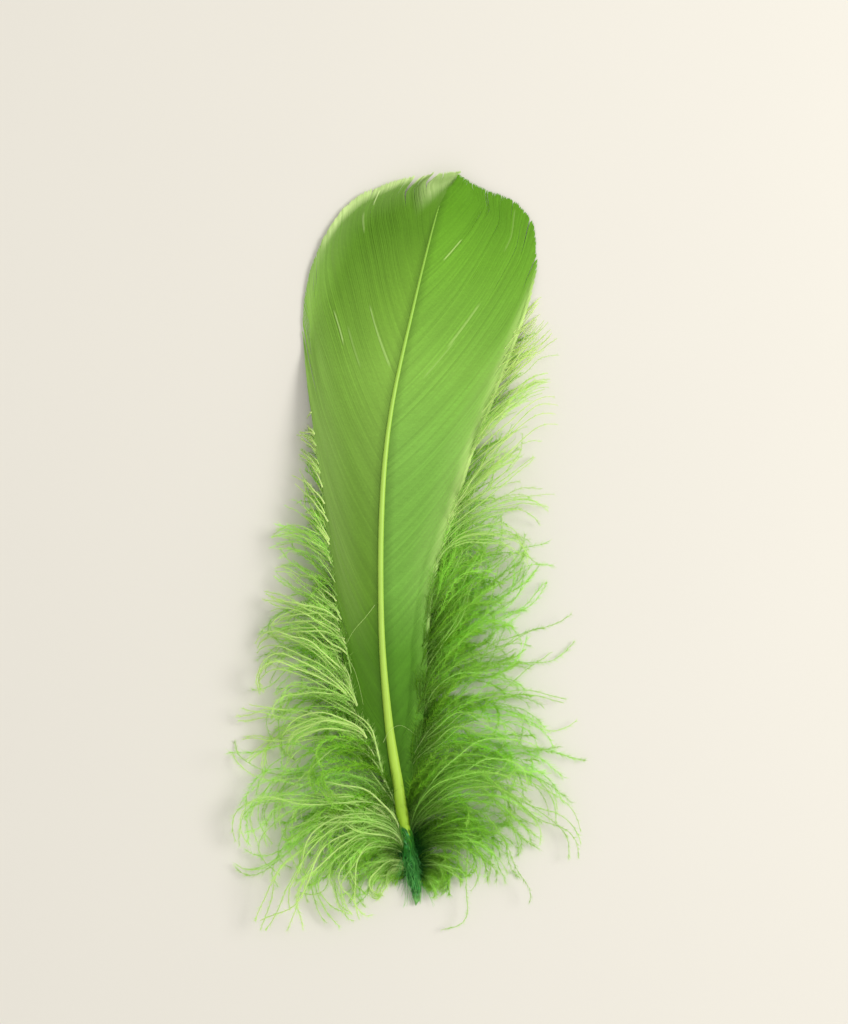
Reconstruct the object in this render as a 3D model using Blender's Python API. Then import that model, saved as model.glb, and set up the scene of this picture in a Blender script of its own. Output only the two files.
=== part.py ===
"""A dyed goose feather, lying on a table as it comes to rest.

The table is the plane Z = 0 and +Z is up. The feather's tip points along +Y, its curved back is upwards,
and the origin lies on the table under the middle of the whole feather.

A feather grows in one piece, and here it is divided where its parts differ: the shaft, the firm web on each
side of it, and the loose down beside and below each web. The webs are thin curved sheets. The down is too
fine for a solid of its own, so each side's down is the low mound that its tips fill.

Run it with: blender --background --python part.py
"""

import bisect

import bmesh
import bpy
from mathutils import Vector

MM = 0.001

# Every table below is in millimetres, measured from the quill's end as the feather lies:
# first how far along the feather (Y), or sideways (X) and along (Y) for a point on the table.

# The shaft's axis and thickness: along, sideways, height of the axis, diameter
SHAFT_LINE = (
    (0.0, 0.0, 0.80, 1.30),
    (3.0, -0.5, 1.06, 2.05),
    (8.0, -1.3, 1.45, 2.40),
    (15.0, -2.6, 2.20, 2.70),
    (23.0, -3.8, 3.10, 2.75),
    (40.0, -6.3, 5.00, 1.95),
    (61.0, -7.8, 7.00, 1.40),
    (88.0, -7.6, 8.20, 1.20),
    (108.0, -5.6, 7.90, 0.95),
    (133.0, -0.4, 5.60, 0.68),
    (150.0, 3.6, 3.00, 0.50),
    (160.0, 6.3, 1.40, 0.36),
)

# A web's outline, as the barbs that grow to it: the barb's root along the shaft, then its tip, sideways and along
WEB_LEFT = (
    (22.0, -7.9, 28.0),
    (29.9, -14.6, 46.0),
    (37.7, -17.4, 62.0),
    (45.6, -19.3, 77.0),
    (54.6, -21.6, 95.0),
    (63.5, -24.0, 110.7),
    (74.8, -25.7, 123.5),
    (88.2, -25.2, 136.5),
    (97.7, -22.4, 146.2),
    (104.5, -19.2, 151.8),
    (113.8, -14.2, 157.0),
    (123.7, -8.8, 160.1),
    (133.1, -4.2, 161.6),
    (142.8, 0.6, 162.2),
    (150.5, 4.6, 162.5),
    (158.8, 8.4, 163.0),
)
WEB_RIGHT = (
    (22.0, -0.9, 28.0),
    (28.7, 1.3, 40.0),
    (37.7, 2.2, 51.2),
    (47.8, 3.0, 62.4),
    (56.8, 4.7, 73.2),
    (64.7, 8.9, 86.7),
    (72.0, 13.6, 101.5),
    (80.4, 19.0, 115.2),
    (88.2, 23.6, 127.6),
    (92.7, 25.9, 135.0),
    (97.2, 27.1, 142.2),
    (103.9, 26.6, 150.2),
    (110.7, 24.4, 154.5),
    (118.5, 21.6, 156.4),
    (136.7, 17.2, 157.9),
    (147.0, 13.6, 158.9),
    (153.0, 11.2, 159.8),
    (158.8, 9.8, 162.0),
)

# How the webs stand on the shaft: along, slope where they leave it, droop per mm further out
WEB_FORM = (
    (20.0, 0.34, 0.0000),
    (50.0, 0.24, 0.0040),
    (80.0, 0.12, 0.0100),
    (110.0, 0.08, 0.0150),
    (165.0, 0.05, 0.0150),
)
WEB_THICKNESS = 0.40
WEB_LOWEST = 0.35
LANDING = 1.2
BARB_SWING = 0.10

# A mound of down, in strips from the web out to the tips: inner end, outer end (both sideways and along), height
DOWN_LEFT = (
    (-24.6, 101.0, -26.2, 104.0, 1.2),
    (-22.6, 91.0, -28.0, 95.5, 2.6),
    (-20.9, 75.2, -30.5, 80.0, 4.2),
    (-18.6, 58.8, -32.0, 59.0, 5.0),
    (-15.9, 43.8, -32.5, 38.0, 5.2),
    (-12.0, 30.3, -32.0, 17.0, 5.0),
    (-7.4, 20.0, -24.0, 3.0, 4.2),
    (-4.9, 13.5, -13.0, 0.8, 3.0),
    (-3.5, 8.5, -6.0, 1.6, 1.6),
)
DOWN_RIGHT = (
    (26.0, 128.0, 29.0, 130.5, 1.2),
    (22.2, 118.6, 31.5, 126.0, 2.8),
    (16.2, 102.6, 33.5, 112.0, 4.4),
    (9.1, 79.2, 34.5, 88.0, 5.2),
    (5.5, 63.5, 35.0, 62.0, 5.4),
    (3.4, 43.3, 34.5, 38.0, 5.4),
    (0.5, 28.7, 31.0, 17.0, 5.0),
    (-0.7, 16.0, 20.0, 3.0, 4.0),
    (0.4, 9.0, 7.0, 1.4, 1.6),
)
DOWN_RIM = 0.8

# Where one part grows out of another, the two solids stop this far apart
GAP = 0.35

SHAFT_POINTS = 52
WEB_BARBS, WEB_STEPS = 34, 8
DOWN_STRIPS, DOWN_STEPS = 26, 8

# Colour in linear light, roughness
SHAFT_LOOK = ((0.42, 0.66, 0.11), 0.35)
WEB_LOOK = ((0.20, 0.42, 0.05), 0.60)
DOWN_LOOK = ((0.28, 0.52, 0.08), 0.90)


def read(table, place):
    """The values of a table at a place along its first column, on one smooth curve through its rows."""
    places = [row[0] for row in table]
    place = min(max(place, places[0]), places[-1])
    i = min(bisect.bisect_right(places, place), len(table) - 1)
    before, after = table[i - 1], table[i]
    span = after[0] - before[0]
    s = (place - before[0]) / span
    values = []
    for column in range(1, len(before)):
        rise_before = slope_at(table, i - 1, column) * span
        rise_after = slope_at(table, i, column) * span
        values.append(
            before[column] * (1 - s) ** 2 * (1 + 2 * s)
            + rise_before * s * (1 - s) ** 2
            + after[column] * s**2 * (3 - 2 * s)
            - rise_after * s**2 * (1 - s)
        )
    return values


def slope_at(table, i, column):
    """The slope of one column at a row, from the rows on either side."""
    low, high = table[max(i - 1, 0)], table[min(i + 1, len(table) - 1)]
    return (high[column] - low[column]) / (high[0] - low[0])


def numbered(table):
    """The table with its rows' places, 0 to 1, as a first column."""
    return [(i / (len(table) - 1), *row) for i, row in enumerate(table)]


def web_height(across, along):
    """The height of a web's middle layer above the table, where it arches over from the shaft and lands."""
    axis_x, axis_z, _ = read(SHAFT_LINE, along)
    slope, droop = read(WEB_FORM, along)
    out = abs(across - axis_x)
    clear = axis_z + slope * out - droop * out**2 - WEB_LOWEST
    return WEB_LOWEST + 0.5 * (clear + (clear**2 + LANDING**2) ** 0.5)


def on_web(outline, side, root, step):
    """A point of a web: on the barb that grows from root, step of the way along it."""
    axis_x, _, diameter = read(SHAFT_LINE, root)
    tip = Vector(read(outline, root))
    start = Vector((axis_x + side * (0.5 * diameter + GAP), root))
    chord = tip - start
    # A barb leaves the shaft more openly than it ends, so its middle swings outwards.
    outwards = Vector((chord.y, -chord.x)) * side
    bend = start + 0.45 * chord + BARB_SWING * outwards
    point = start * (1 - step) ** 2 + bend * 2 * step * (1 - step) + tip * step**2
    return Vector((point.x, point.y, web_height(point.x, point.y))) * MM


def new_material(name, look):
    colour, roughness = look
    material = bpy.data.materials.new(name)
    material.use_nodes = True
    shader = material.node_tree.nodes["Principled BSDF"]
    shader.inputs["Base Color"].default_value = (*colour, 1.0)
    shader.inputs["Roughness"].default_value = roughness
    shader.inputs["Metallic"].default_value = 0.0
    material.diffuse_color = (*colour, 1.0)
    return material


def add_object(name, data, look, parent):
    obj = bpy.data.objects.new(name, data)
    obj.data.materials.append(new_material(name, look))
    obj.parent = parent
    bpy.context.scene.collection.objects.link(obj)
    return obj


def lofted(columns, rows, place):
    """A sheet of columns by rows quads, whose corner at (u, v), each 0 to 1, goes to place(u, v)."""
    bm = bmesh.new()
    bmesh.ops.create_grid(bm, x_segments=columns, y_segments=rows, size=0.5)
    for vert in bm.verts:
        vert.co = place(vert.co.x + 0.5, vert.co.y + 0.5)
    return bm


def finished(bm, name):
    """The bmesh as a smooth mesh with its faces pointing out."""
    bmesh.ops.recalc_face_normals(bm, faces=bm.faces)
    mesh = bpy.data.meshes.new(name)
    bm.to_mesh(mesh)
    bm.free()
    mesh.shade_smooth()
    return mesh


def add_shaft(parent):
    """Quill and rachis in one tapering rod, thickest where the quill meets the webs."""
    curve = bpy.data.curves.new("shaft", "CURVE")
    curve.dimensions = "3D"
    curve.bevel_depth = 0.5 * MM
    curve.bevel_resolution = 2
    curve.use_fill_caps = True
    line = curve.splines.new("POLY")
    line.points.add(SHAFT_POINTS - 1)
    length = SHAFT_LINE[-1][0]
    for i, point in enumerate(line.points):
        along = length * i / (SHAFT_POINTS - 1)
        across, height, diameter = read(SHAFT_LINE, along)
        point.co = (across * MM, along * MM, height * MM, 1.0)
        point.radius = diameter
    return add_object("shaft", curve, SHAFT_LOOK, parent)


def add_web(name, outline, side, parent):
    """One web, a sheet laid along its barbs and given its thickness."""
    low, high = outline[0][0], outline[-1][0]

    def place(step, barb):
        return on_web(outline, side, low + (high - low) * barb, step)

    web = add_object(name, finished(lofted(WEB_STEPS, WEB_BARBS, place), name), WEB_LOOK, parent)
    wall = web.modifiers.new("thickness", "SOLIDIFY")
    wall.thickness = WEB_THICKNESS * MM
    wall.offset = 0.0
    return web


def add_down(name, strips, parent):
    """One side's down: a low mound with a flat underside, which lies on the table."""
    table = numbered(strips)

    def place(out, strip):
        inner_x, inner_y, outer_x, outer_y, height = read(table, strip)
        crown = (4 * out * (1 - out)) ** 0.6
        top = DOWN_RIM + (height - DOWN_RIM) * crown
        inner, outer = Vector((inner_x, inner_y, top)), Vector((outer_x, outer_y, top))
        return inner.lerp(outer, out) * MM

    bm = lofted(DOWN_STEPS, DOWN_STRIPS, place)
    walls = bmesh.ops.extrude_face_region(bm, geom=bm.faces[:])
    for vert in walls["geom"]:
        if isinstance(vert, bmesh.types.BMVert):
            vert.co.z = 0.0
    return add_object(name, finished(bm, name), DOWN_LOOK, parent)


def corners_of(part, graph):
    """The points of a part as it stands, with its modifiers."""
    evaluated = part.evaluated_get(graph)
    points = [vert.co.copy() for vert in evaluated.to_mesh().vertices]
    evaluated.to_mesh_clear()
    return points


def centre_on_origin(parent, parts):
    """Moves the whole feather so that the origin lies on the table under its middle."""
    bpy.context.view_layer.update()
    graph = bpy.context.evaluated_depsgraph_get()
    points = [point for part in parts for point in corners_of(part, graph)]
    for axis in (0, 1):
        places = [point[axis] for point in points]
        parent.location[axis] = -0.5 * (min(places) + max(places))


def build():
    for obj in list(bpy.data.objects):
        bpy.data.objects.remove(obj, do_unlink=True)
    feather = bpy.data.objects.new("feather", None)
    bpy.context.scene.collection.objects.link(feather)
    parts = [
        add_shaft(feather),
        add_web("vane_left", WEB_LEFT, -1, feather),
        add_web("vane_right", WEB_RIGHT, 1, feather),
        add_down("down_left", DOWN_LEFT, feather),
        add_down("down_right", DOWN_RIGHT, feather),
    ]
    centre_on_origin(feather, parts)


build()
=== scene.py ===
# %% [markdown]
# # A green goose feather
# This lesson builds one loose goose feather, dyed lime green, as it lies on a pale table. A feather looks
# simple and is not: it has a horn shaft, two webs of 190 barbs each, and a deep fringe of down.
# The CAD frame gives the size and the place of each part, and every piece made here follows it.

# %% Load the frame
import math

import bmesh
import bpy
import numpy as np
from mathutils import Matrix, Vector, noise


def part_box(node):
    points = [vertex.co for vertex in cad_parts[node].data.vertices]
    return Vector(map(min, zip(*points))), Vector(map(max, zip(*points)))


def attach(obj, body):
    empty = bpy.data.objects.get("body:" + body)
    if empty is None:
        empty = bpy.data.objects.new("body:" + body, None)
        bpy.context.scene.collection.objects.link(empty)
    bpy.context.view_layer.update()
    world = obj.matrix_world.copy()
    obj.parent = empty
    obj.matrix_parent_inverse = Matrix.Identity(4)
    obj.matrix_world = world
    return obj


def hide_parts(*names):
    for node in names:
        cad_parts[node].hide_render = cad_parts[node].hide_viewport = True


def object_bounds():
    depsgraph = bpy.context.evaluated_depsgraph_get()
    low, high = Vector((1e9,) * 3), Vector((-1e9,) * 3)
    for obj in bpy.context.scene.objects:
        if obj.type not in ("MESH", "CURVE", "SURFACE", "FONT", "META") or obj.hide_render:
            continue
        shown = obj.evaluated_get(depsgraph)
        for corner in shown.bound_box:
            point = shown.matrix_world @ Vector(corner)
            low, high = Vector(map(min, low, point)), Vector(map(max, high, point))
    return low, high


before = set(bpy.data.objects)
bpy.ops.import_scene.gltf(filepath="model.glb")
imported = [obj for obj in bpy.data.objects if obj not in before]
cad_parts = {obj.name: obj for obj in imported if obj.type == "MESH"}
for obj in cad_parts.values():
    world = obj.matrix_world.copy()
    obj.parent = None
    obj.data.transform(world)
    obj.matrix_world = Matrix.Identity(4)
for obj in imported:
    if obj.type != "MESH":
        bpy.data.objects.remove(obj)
cad_low, cad_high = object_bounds()
MM = 0.001
print("frame:", len(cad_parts), "solids, mm:", [round(v / MM, 1) for v in (*cad_low, *cad_high)])

# %% [markdown]
# ## The shaft's line
# Lengths are in millimetres from the quill's end, as the feather lies: along the feather first, then
# sideways, then height above the table and thickness. The tables are the frame's own, so that the fine parts
# grow exactly where the plain solids are. A smooth curve runs through the rows of each table.

# %% Shaft table, and how a table is read
SHAFT_LINE = (
    (0, 0, 0.8, 1.3), (3, -0.5, 1.06, 2.05), (8, -1.3, 1.45, 2.4), (15, -2.6, 2.2, 2.7),
    (23, -3.8, 3.1, 2.75), (40, -6.3, 5, 1.95), (61, -7.8, 7, 1.4), (88, -7.6, 8.2, 1.2),
    (108, -5.6, 7.9, 0.95), (133, -0.4, 5.6, 0.68), (150, 3.6, 3, 0.5), (160, 6.3, 1.4, 0.36),
)
LENGTH = SHAFT_LINE[-1][0]


def read(table, places):
    """The columns of a table, one array each, on one smooth curve through its rows."""
    rows = np.array(table, float)
    at, values = rows[:, 0], rows[:, 1:]
    around = np.pad(rows, ((1, 1), (0, 0)), "edge")
    rise = around[2:] - around[:-2]
    slopes = rise[:, 1:] / rise[:, :1]
    places = np.clip(np.asarray(places, float), at[0], at[-1])
    i = np.clip(np.searchsorted(at, places, side="right"), 1, len(at) - 1)
    span = (at[i] - at[i - 1])[..., None]
    s = (places[..., None] - at[i - 1][..., None]) / span
    curve = (
        values[i - 1] * (1 - s) ** 2 * (1 + 2 * s)
        + slopes[i - 1] * span * s * (1 - s) ** 2
        + values[i] * s**2 * (3 - 2 * s)
        - slopes[i] * span * s**2 * (1 - s)
    )
    return np.moveaxis(curve, -1, 0)


def stacked(*columns):
    """Values side by side in one array, such as the places along each axis of many points."""
    return np.stack(np.broadcast_arrays(*columns), axis=-1)


across, _, diameter = read(SHAFT_LINE, np.linspace(0, LENGTH, 400))
shaft_low, shaft_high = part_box("shaft")
QUILL_END = np.array([shaft_low.x / MM - (across - diameter / 2).min(), shaft_high.y / MM - LENGTH, 0.0])
print("quill's end in the frame, mm:", QUILL_END.round(2))

# %% [markdown]
# ## Camera
# The photo looks almost straight down. The camera stands 32 cm above the table, and the feather's tip and
# its quill's end lie on the same pixels as in the photo, so that the two can be laid over each other.

# %% Camera
PHOTO = (848, 1024)
MM_PER_PIXEL = 0.2245
QUILL_PIXEL = (417, 893)
AIM_HEIGHT = 1.5
CAMERA_TILT = math.radians(4)
LENS, SENSOR = 50.0, 36.0
NEAREST, FURTHEST = 0.01, 10.0
scene = bpy.context.scene


def from_pixel(x, y):
    """A pixel of the photo, in mm sideways and along from the quill's end."""
    return np.array([(x - QUILL_PIXEL[0]) * MM_PER_PIXEL, (QUILL_PIXEL[1] - y) * MM_PER_PIXEL])


def new_object(name, data):
    made = bpy.data.objects.new(name, data)
    scene.collection.objects.link(made)
    return made


aim = Vector((*from_pixel(PHOTO[0] / 2, PHOTO[1] / 2), AIM_HEIGHT))
aim = (aim + Vector(QUILL_END)) * MM
distance = PHOTO[1] * MM_PER_PIXEL * MM * LENS / SENSOR
lens = bpy.data.cameras.new("camera")
lens.lens, lens.sensor_width = LENS, SENSOR
lens.clip_start, lens.clip_end = NEAREST, FURTHEST
camera = new_object("camera", lens)
camera.location = aim + Vector((0, -math.sin(CAMERA_TILT), math.cos(CAMERA_TILT))) * distance
camera.rotation_euler = (CAMERA_TILT, 0, 0)
scene.camera = camera
print("camera above the table, mm:", round(camera.location.z / MM))

# %% [markdown]
# ## Light and table
# One large lamp on the right and a pale room give soft light, and leave the shadows about two thirds as
# bright. The table is a matt cream sheet.

# %% Lamp and room
LAMP_PLACE = Vector((0.70, 0.16, 0.66))
LAMP_SIZE, LAMP_POWER = 0.45, 5.6
ROOM_LIGHT = 0.74
WARM_WHITE = (1.0, 0.985, 0.95)

light = bpy.data.lights.new("window light", "AREA")
light.shape, light.size, light.energy, light.color = "DISK", LAMP_SIZE, LAMP_POWER, WARM_WHITE
lamp = new_object("window light", light)
lamp.location = LAMP_PLACE
lamp.rotation_euler = (-LAMP_PLACE).to_track_quat("-Z", "Y").to_euler()
room = bpy.data.worlds.new("room")
room.use_nodes = True
sky = room.node_tree.nodes["Background"].inputs
sky["Color"].default_value, sky["Strength"].default_value = (*WARM_WHITE, 1.0), ROOM_LIGHT
scene.world = room
scene.view_settings.view_transform = "Standard"
print("lamp from the feather, mm:", round(LAMP_PLACE.length / MM))

# %% [markdown]
# A material is a small tree of nodes. A few helpers keep the next cells short: one adds a node and wires it,
# one starts a material, and the others vary a colour by smooth noise.

# %% Helpers for materials


def add_node(tree, kind, inputs=None, **settings):
    """A new node. An input is either a number or colour, or another node's output to link."""
    made = tree.nodes.new("ShaderNode" + kind)
    for name, value in settings.items():
        setattr(made, name, value)
    for name, value in (inputs or {}).items():
        if isinstance(value, bpy.types.NodeSocket):
            tree.links.new(value, made.inputs[name])
        else:
            made.inputs[name].default_value = value
    return made


def new_material(name, values):
    """A material, its tree and its main shader, with these values on the shader's sockets."""
    material = bpy.data.materials.new(name)
    material.use_nodes = True
    shader = material.node_tree.nodes["Principled BSDF"]
    for socket, value in values.items():
        shader.inputs[socket].default_value = value
    return material, material.node_tree, shader


def own_place(tree):
    """Where a point is, on the object's own coordinates."""
    return add_node(tree, "TexCoord").outputs["Object"]


def cloudy(tree, place, scale, detail=2.0):
    """Smooth noise between 0 and 1."""
    return add_node(tree, "TexNoise", {"Vector": place, "Scale": scale, "Detail": detail}).outputs["Fac"]


def brightened(tree, colour, value, low, high):
    """The colour, made darker or brighter by a value from 0 to 1."""
    share = add_node(tree, "MapRange", {"Value": value, "To Min": low, "To Max": high})
    made = add_node(tree, "HueSaturation", {"Color": colour, "Value": share.outputs["Result"]})
    return made.outputs["Color"]


# %% Table
PAPER = (0.775, 0.748, 0.685, 1.0)
TABLE_DROP = 0.05 * MM


def paper_material():
    """Matt cream paper, with a faint unevenness as broad as a hand."""
    material, tree, shader = new_material("cream paper", {"Roughness": 0.85})
    colour = brightened(tree, PAPER, cloudy(tree, own_place(tree), 9.0), 0.985, 1.015)
    tree.links.new(colour, shader.inputs["Base Color"])
    return material


bm = bmesh.new()
bmesh.ops.create_grid(bm, x_segments=1, y_segments=1, size=2.0)
bmesh.ops.translate(bm, verts=bm.verts[:], vec=(0, 0, -TABLE_DROP))
mesh = bpy.data.meshes.new("table")
bm.to_mesh(mesh)
bm.free()
mesh.materials.append(paper_material())
table = new_object("table", mesh)
print("table, mm wide:", round(table.dimensions.x / MM))

# %% [markdown]
# ## Rods that follow a line
# A barb, a strand of down and the shaft are all long rods that bend. One straight master rod is made with
# bmesh operators, and its points are then laid along any number of curved lines at once. The copies join
# in one mesh, because hundreds of single objects would be slow to keep and to render.

# %% Master rod


def master_rod(sides, steps, end=1.0):
    """A closed straight rod, or a spike where its end is 0: the step each point belongs to, its place on the
    unit section, and the triangles."""
    bm = bmesh.new()
    bmesh.ops.create_cone(bm, cap_ends=True, segments=sides, radius1=1.0, radius2=end, depth=1.0)
    if steps > 1:
        long_edges = [e for e in bm.edges if abs(e.verts[0].co.z - e.verts[1].co.z) > 0.5]
        bmesh.ops.subdivide_edges(bm, edges=long_edges, cuts=steps - 1)
    bmesh.ops.triangulate(bm, faces=bm.faces[:])
    bmesh.ops.recalc_face_normals(bm, faces=bm.faces[:])
    bm.verts.index_update()
    points = np.array([v.co[:] for v in bm.verts])
    triangles = np.array([[v.index for v in f.verts] for f in bm.faces])
    bm.free()
    return np.rint((points[:, 2] + 0.5) * steps).astype(int), points[:, :2], triangles


print("a rod of 4 sides and 36 steps:", len(master_rod(4, 36)[2]), "triangles")

# %% [markdown]
# A line is an array of points, and many lines of one length stack into one array. The way ahead at each
# point gives a side and an up that are square to it, and the rod's section is laid out on those two.

# %% Laying rods along lines


def size(vectors):
    return np.linalg.norm(vectors, axis=-1)


def unit(vectors):
    return vectors / np.maximum(size(vectors), 1e-9)[..., None]


def directions(lines):
    """The way along each line at its points, with a side and an up that are square to it."""
    ahead = unit(np.gradient(lines, axis=1))
    side = unit(np.cross(ahead, (0.0, 0.0, 1.0)))
    return ahead, side, np.cross(side, ahead)


def laid_along(rod, lines, side, up, half_width, half_height):
    """Copies of the rod, one along each line, as points and triangles. Half sizes are given per point."""
    step, section, triangles = rod
    points = (
        lines[:, step]
        + (section[:, 0] * half_width[:, step])[..., None] * side[:, step]
        + (section[:, 1] * half_height[:, step])[..., None] * up[:, step]
    )
    copies, each = points.shape[:2]
    # Side, up and ahead are a left-handed set, so each triangle is turned round to face outwards
    joined = triangles[None, :, ::-1] + (np.arange(copies) * each)[:, None, None]
    return points.reshape(-1, 3), joined.reshape(-1, 3)


def round_rods(sides, lines, half):
    """The master rod of round rods along the lines, and their points and triangles."""
    rod = master_rod(sides, lines.shape[1] - 1)
    _, side, up = directions(lines)
    half = np.broadcast_to(half, lines.shape[:2])
    return rod, *laid_along(rod, lines, side, up, half, half)


def lengths(lines):
    return size(np.diff(lines, axis=1)).sum(1)


# %% [markdown]
# Materials on barbs and strands need to know where they are on their own piece. Two attributes carry that.
# Growth holds the share of the way along a rod, a random number of its own and how pale it is, which on
# webs and down is largely painted highlight. Run holds millimetres along and across a barb, and where its
# root is, for the webs' fine patterns.

# %% Joined mesh
SHARP = math.radians(50)


def joined_object(name, points, triangles, material, **marks):
    """One object of many copies, in the frame's place, with what the material reads on its points."""
    mesh = bpy.data.meshes.new(name)
    mesh.from_pydata((points + QUILL_END) * MM, [], triangles)
    mesh.shade_smooth()
    mesh.set_sharp_from_angle(angle=SHARP)
    for label, values in marks.items():
        kept = mesh.attributes.new(label, "FLOAT_VECTOR", "POINT")
        kept.data.foreach_set("vector", values.astype(np.float32).ravel())
    mesh.materials.append(material)
    print(name, "triangles:", len(triangles))
    return new_object(name, mesh)


def on_points(rod, *columns):
    """Values per step, or per line where they stand in a column, spread to the points of all copies."""
    return stacked(*columns)[:, rod[0]].reshape(-1, len(columns))


def settled(piece, node):
    """The piece moves with the feather, and hides the plain solid it stands for, if any."""
    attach(piece, "root")
    if node:
        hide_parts(node)


# %% [markdown]
# ## Where the webs run
# Each web is a row of barbs. A barb leaves the shaft at about thirty degrees and bends towards the tip. The
# tables give, for a barb's root along the shaft, where its tip is. The sheet the barbs make arches over from
# the shaft and lands on the table near its edges.

# %% Web tables
WEB_LEFT = (
    (22, -7.9, 28), (29.9, -14.6, 46), (37.7, -17.4, 62), (45.6, -19.3, 77),
    (54.6, -21.6, 95), (63.5, -24, 110.7), (74.8, -25.7, 123.5), (88.2, -25.2, 136.5),
    (97.7, -22.4, 146.2), (104.5, -19.2, 151.8), (113.8, -14.2, 157), (123.7, -8.8, 160.1),
    (133.1, -4.2, 161.6), (142.8, 0.6, 162.2), (150.5, 4.6, 162.5), (158.8, 9.7, 163.1),
)
WEB_RIGHT = (
    (22, -0.9, 28), (28.7, 1.3, 40), (37.7, 2.2, 51.2), (47.8, 3, 62.4),
    (56.8, 4.7, 73.2), (64.7, 8.9, 86.7), (72, 13.6, 101.5), (80.4, 19, 115.2),
    (88.2, 23.6, 127.6), (92.7, 25.9, 135), (97.2, 27.1, 142.2), (103.9, 26.6, 150.2),
    (110.7, 24.4, 154.5), (118.5, 21.7, 156.9), (136.7, 17.3, 158.9), (147, 13.8, 160.4),
    (153, 11.7, 161.6), (158.8, 9.8, 162.8),
)
# Along the shaft: the web's slope where it leaves the shaft, and how that slope bends down further out
WEB_FORM = ((20, 0.34, 0), (50, 0.24, 0.004), (80, 0.12, 0.01), (110, 0.08, 0.015), (165, 0.05, 0.015))
WEB_LOWEST = 0.35
LANDING = 1.2
BARB_SEAT, BARB_BEND, BARB_SWING = 0.38, 0.45, 0.10
BARB_STEPS = 36
STEP_CLOSING = 1.3
# Shares of the way along a barb, closer together towards its tip
STEPS = 1 - (1 - np.linspace(0, 1, BARB_STEPS + 1)) ** STEP_CLOSING


def web_height(across, along):
    """The height of a web above the table, where it arches over from the shaft and lands."""
    shaft_x, shaft_z, _ = read(SHAFT_LINE, along)
    slope, droop = read(WEB_FORM, along)
    out = np.abs(across - shaft_x)
    clear = shaft_z + slope * out - droop * out**2 - WEB_LOWEST
    return WEB_LOWEST + 0.5 * (clear + np.sqrt(clear**2 + LANDING**2))


def barb_plan(outline, side, roots):
    """Each barb seen from above, from its root on the shaft to its tip on the outline."""
    shaft_x, _, diameter = read(SHAFT_LINE, roots)
    tip = stacked(*read(outline, roots))
    start = stacked(shaft_x + side * BARB_SEAT * diameter, roots)
    chord = tip - start
    outwards = stacked(chord[:, 1], -chord[:, 0]) * side
    bend = start + BARB_BEND * chord + BARB_SWING * outwards
    s = STEPS[:, None]
    return start[:, None] * (1 - s) ** 2 + bend[:, None] * 2 * s * (1 - s) + tip[:, None] * s**2


print("web height at mid length, mm:", round(float(web_height(0.0, 80.0)), 2))

# %% [markdown]
# ## What makes a web look grown
# A web is never a perfect sheet. Barbs drift with their neighbours, part in splits that open towards the
# edge, and here and there one lies proud, painted pale as a highlight where it catches the light.
# Smooth random values give the drift, and two short lists a side name the splits and the proud barbs of
# this feather.

# %% Drift, splits and proud barbs
BARBS = 190
ROOT_JITTER, TIP_JITTER, OWN_DRIFT = 0.15, 0.07, 0.03
DRIFT, DRIFT_HUMPS = 0.16, (34, 5)
WAVE, WAVE_HUMPS = 0.12, (22, 4)
SPLIT_REACH = 2.0

# Root of the split along the shaft, where along the barb it starts, how far it opens in mm
SPLITS_LEFT = ((147.5, 0.66, 0.50), (138.5, 0.72, 0.50), (119.0, 0.93, 0.20), (79.0, 0.72, 0.16))
SPLITS_RIGHT = ((104.0, 0.84, 0.22), (112.0, 0.86, 0.16), (97.0, 0.74, 0.16))
# Each proud barb shows between two pixels of the photo, as strongly as the last number says: it is
# lifted, thinned and painted pale as a highlight
PROUD_LEFT = (
    ((335, 316), (341, 338), 0.42), ((374, 313), (388, 368), 0.27), ((374, 196), (378, 186), 0.6),
    ((350, 330), (357, 362), 0.14), ((362, 212), (360, 226), 0.2),
)
PROUD_RIGHT = (
    ((447, 257), (461, 240), 0.5), ((453, 343), (475, 309), 0.28), ((427, 382), (450, 348), 0.16),
    ((505, 240), (524, 210), 0.16),
)


def smooth_noise(rng, cells):
    """Smooth random values over barbs and steps, with about so many humps each way."""
    values = rng.normal(size=(cells[0] + 2, cells[1] + 2))
    for axis, count in enumerate((BARBS, BARB_STEPS + 1)):
        at = np.linspace(0, values.shape[axis] - 1.001, count)
        low = at.astype(int)
        s = at - low
        s = (s * s * (3 - 2 * s)).reshape((-1, 1) if axis == 0 else (1, -1))
        values = np.take(values, low, axis) * (1 - s) + np.take(values, low + 1, axis) * s
    return values


def ramp(values, start, end):
    """0 below start, 1 above end, and smooth between."""
    s = np.clip((values - start) / (end - start), 0, 1)
    return s * s * (3 - 2 * s)


def split_shift(roots, splits):
    """How far each barb is pushed along its row by the splits."""
    shift = np.zeros((len(roots), len(STEPS)))
    for root, start, opening in splits:
        away = roots - root
        share = np.exp(-((away / SPLIT_REACH) ** 2)) * np.sign(away)
        shift += share[:, None] * opening * np.clip((STEPS - start) / (1 - start), 0, None) ** 1.3
    return shift


def proud_share(plan, stretches):
    """How proud each barb is at each step, 0 to 1, from the pixels its bright stretch runs between."""
    proud = np.zeros(plan.shape[:2])
    for first, last, strength in stretches:
        ends = [from_pixel(*first), from_pixel(*last)]
        middle = (ends[0] + ends[1]) / 2
        barb = size(plan - middle).min(axis=1).argmin()
        low, high = sorted(size(plan[barb] - end).argmin() for end in ends)
        steps = np.arange(len(STEPS))
        proud[barb] = strength * np.clip(steps - low + 1, 0, 1) * np.clip(high - steps + 1, 0, 1)
    return proud


def edge_distance(plan):
    """How far each point of each barb is from the web's edge, in mm. The edge runs from tip to tip."""
    tips = plan[:, -1]
    between = [tips[:-1] * (1 - s) + tips[1:] * s for s in (0.0, 0.25, 0.5, 0.75)]
    edge = np.concatenate([*between, tips[-1:]])
    return size(plan[:, :, None] - edge).min(axis=-1)
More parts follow.
